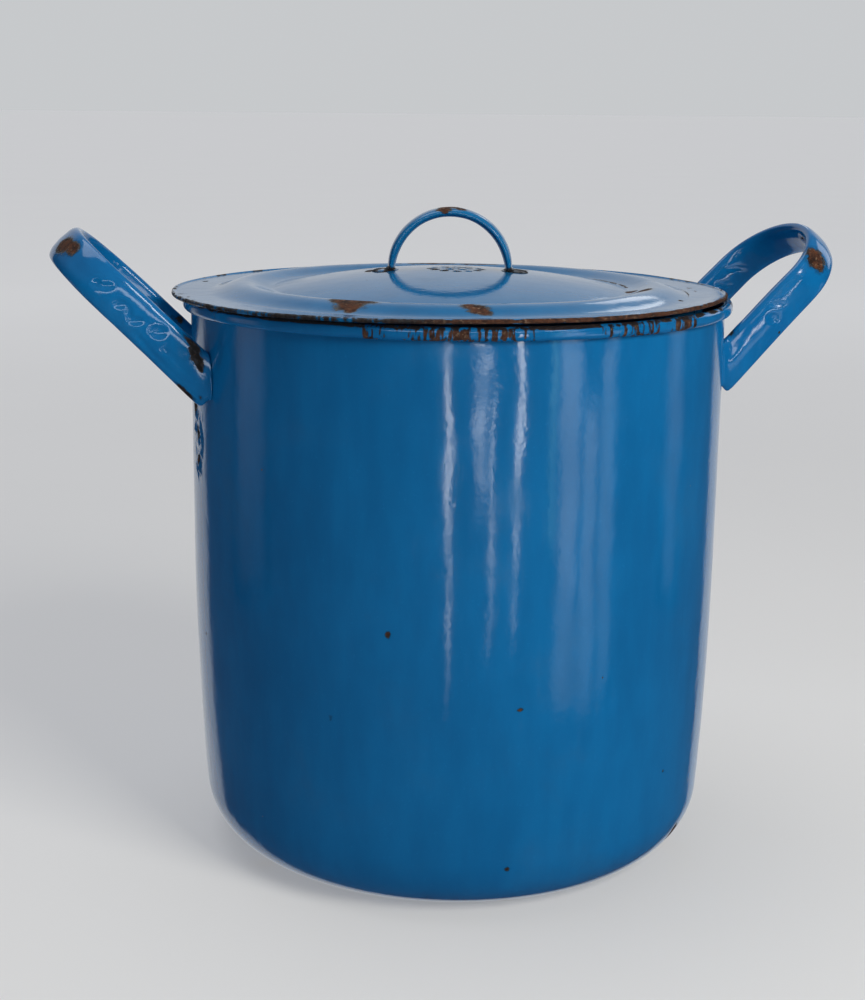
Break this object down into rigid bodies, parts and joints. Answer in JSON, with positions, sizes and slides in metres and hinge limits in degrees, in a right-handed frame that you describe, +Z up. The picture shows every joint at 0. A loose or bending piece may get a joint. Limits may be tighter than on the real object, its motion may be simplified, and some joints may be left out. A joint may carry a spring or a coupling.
{
  "type": "stock pot",
  "caption": "Tall round enamelled stock pot with a rolled rim, looped side handles and a loose domed lid with an arched grip.",
  "frame": {"origin": "centre of the base, on the surface the pot stands on", "axes": "+Z up along the pot's axis; +X and -X towards the two side handles; +Y the narrow way across, away from the usual viewer"},
  "size_m": [0.4206, 0.291, 0.3413],
  "materials": {
    "body_enamel": "glossy vitreous enamel, saturated blue inside and out, chipped to dark brown steel along the rolled rim and base corner",
    "handle_enamel": "glossy vitreous enamel, blue, worn to brown at the tip of each loop and rusted at the feet",
    "lid_enamel": "glossy vitreous enamel, blue, chipped to black and brown all round the folded edge and in patches on the ridge",
    "rim_steel": "bare drawn wire, closed inside the rolled rim"
  },
  "bodies": {
    "pot": {"pot_body": "body_enamel", "rim_wire": "rim_steel", "side_handle_right": "handle_enamel", "side_handle_left": "handle_enamel"},
    "lid": {"lid_pan": "lid_enamel", "lid_collar": "lid_enamel", "lid_handle": "lid_enamel"}
  },
  "joints": [
    {"name": "lid_lift", "type": "slide", "parent": "pot", "child": "lid", "axis": [0, 0, 1], "range_m": [0, 0.12]}
  ]
}
